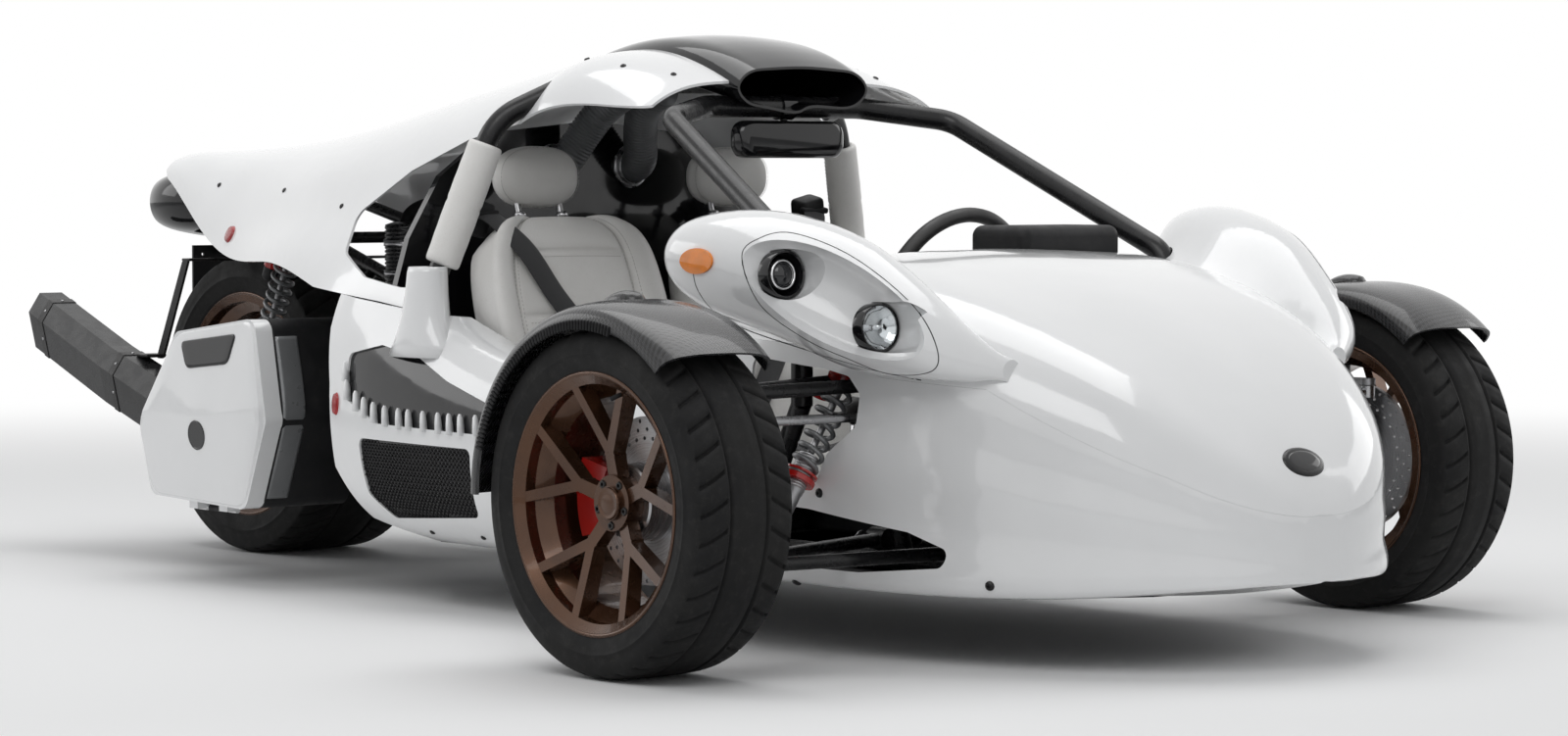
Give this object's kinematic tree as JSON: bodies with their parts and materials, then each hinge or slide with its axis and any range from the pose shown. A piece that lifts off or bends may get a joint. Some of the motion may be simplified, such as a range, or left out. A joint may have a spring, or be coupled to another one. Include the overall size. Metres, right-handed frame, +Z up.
{
  "type": "three wheeled car",
  "caption": "Open two-seat three wheeled car with a tube frame, white body, cycle fenders, roof scoop, side cases and one driven rear wheel.",
  "frame": {"origin": "on the floor under the middle of the car's bounding box", "axes": "+X forward, +Y to the car's left, +Z up; the wheels stand on Z 0"},
  "size_m": [3.495, 2.0052, 1.0907],
  "materials": {
    "white_gloss": "gloss white composite",
    "gloss_black": "gloss black",
    "satin_black": "satin black paint",
    "matte_black": "matte black plastic",
    "white_leather": "stitched white leather",
    "tyre": "black tyre",
    "bronze": "satin bronze paint",
    "steel": "machined steel",
    "silver": "cast aluminium",
    "red": "gloss red",
    "carbon": "gloss woven black",
    "lamp_glass": "clear lens",
    "amber": "amber lens",
    "red_lens": "red lens",
    "rubber": "black rubber"
  },
  "bodies": {
    "car": {"bulkhead": "gloss_black", "case_bodies": "matte_black", "centre_tunnel": "matte_black", "chain": "steel", "coil_overs_front": "silver", "coil_overs_rear": "silver", "dash": "matte_black", "engine_block": "silver", "floor_pan": "matte_black", "front_frame": "satin_black", "front_hoop": "satin_black", "gear_lever": "steel", "headlamps": "lamp_glass", "headrests": "white_leather", "hoop_pads": "white_leather", "intake_ducts": "rubber", "lower_arms": "satin_black", "lower_frame": "satin_black", "main_hoop": "satin_black", "mirror": "matte_black", "mufflers": "satin_black", "nose_hood": "white_gloss", "nose_lower": "white_gloss", "plate_bracket": "matte_black", "rack_housing": "rubber", "rear_fairing": "white_gloss", "rear_subframe": "satin_black", "roof_panel": "white_gloss", "roof_scoop": "gloss_black", "seats": "white_leather", "side_grilles": "matte_black", "side_markers": "amber", "side_panel_left": "white_gloss", "side_panel_right": "white_gloss", "swingarm": "satin_black", "tail_housing": "gloss_black", "tail_lamps": "red_lens", "upper_arms": "satin_black"},
    "wheel_front_right": {"tyre_front_right": "tyre", "rim_front_right": "bronze", "disc_front_right": "steel"},
    "wheel_front_left": {"tyre_front_left": "tyre", "rim_front_left": "bronze", "disc_front_left": "steel"},
    "wheel_rear": {"tyre_rear": "tyre", "rim_rear": "bronze", "rear_hub": "steel"},
    "upright_right": {"knuckle_right": "silver", "caliper_right": "red", "fender_right": "carbon", "fender_bracket_right": "satin_black"},
    "upright_left": {"knuckle_left": "silver", "caliper_left": "red", "fender_left": "carbon", "fender_bracket_left": "satin_black"},
    "rack": {"steering_rack": "steel"},
    "steering": {"steering_wheel": "matte_black"},
    "lid_right": {"case_lid_right": "white_gloss"},
    "lid_left": {"case_lid_left": "white_gloss"}
  },
  "joints": [
    {"name": "spin_front_right", "type": "hinge", "parent": "upright_right", "child": "wheel_front_right", "pos_m": [1.0485, -0.886, 0.288], "axis": [0, 1, 0], "continuous": true},
    {"name": "spin_front_left", "type": "hinge", "parent": "upright_left", "child": "wheel_front_left", "pos_m": [1.0485, 0.886, 0.288], "axis": [0, 1, 0], "continuous": true},
    {"name": "spin_rear", "type": "hinge", "parent": "car", "child": "wheel_rear", "pos_m": [-1.2865, 0, 0.325], "axis": [0, 1, 0], "continuous": true},
    {"name": "steer_left", "type": "hinge", "parent": "car", "child": "upright_left", "pos_m": [1.0485, 0.806, 0.288], "axis": [0, 0, 1], "range_deg": [-28, 28]},
    {"name": "steer_right", "type": "hinge", "parent": "car", "child": "upright_right", "pos_m": [1.0485, -0.806, 0.288], "axis": [0, 0, 1], "range_deg": [-28, 28]},
    {"name": "rack_slide", "type": "slide", "parent": "car", "child": "rack", "axis": [0, 1, 0], "range_m": [-0.0338, 0.0338]},
    {"name": "wheel_turn", "type": "hinge", "parent": "car", "child": "steering", "pos_m": [0.5785, 0.24, 0.59], "axis": [-0.9535, 0, 0.3015], "range_deg": [-400, 400]},
    {"name": "lid_right_open", "type": "hinge", "parent": "car", "child": "lid_right", "pos_m": [-0.7515, -0.54515, 0.15], "axis": [1, 0, 0], "range_deg": [0, 80]},
    {"name": "lid_left_open", "type": "hinge", "parent": "car", "child": "lid_left", "pos_m": [-0.7515, 0.54515, 0.15], "axis": [-1, 0, 0], "range_deg": [0, 80]}
  ],
  "couplings": [
    {"joint": "steer_right", "follows": "steer_left", "ratio": 1},
    {"joint": "rack_slide", "follows": "steer_left", "m_per_rad": 0.06846},
    {"joint": "wheel_turn", "follows": "steer_left", "ratio": 14}
  ]
}
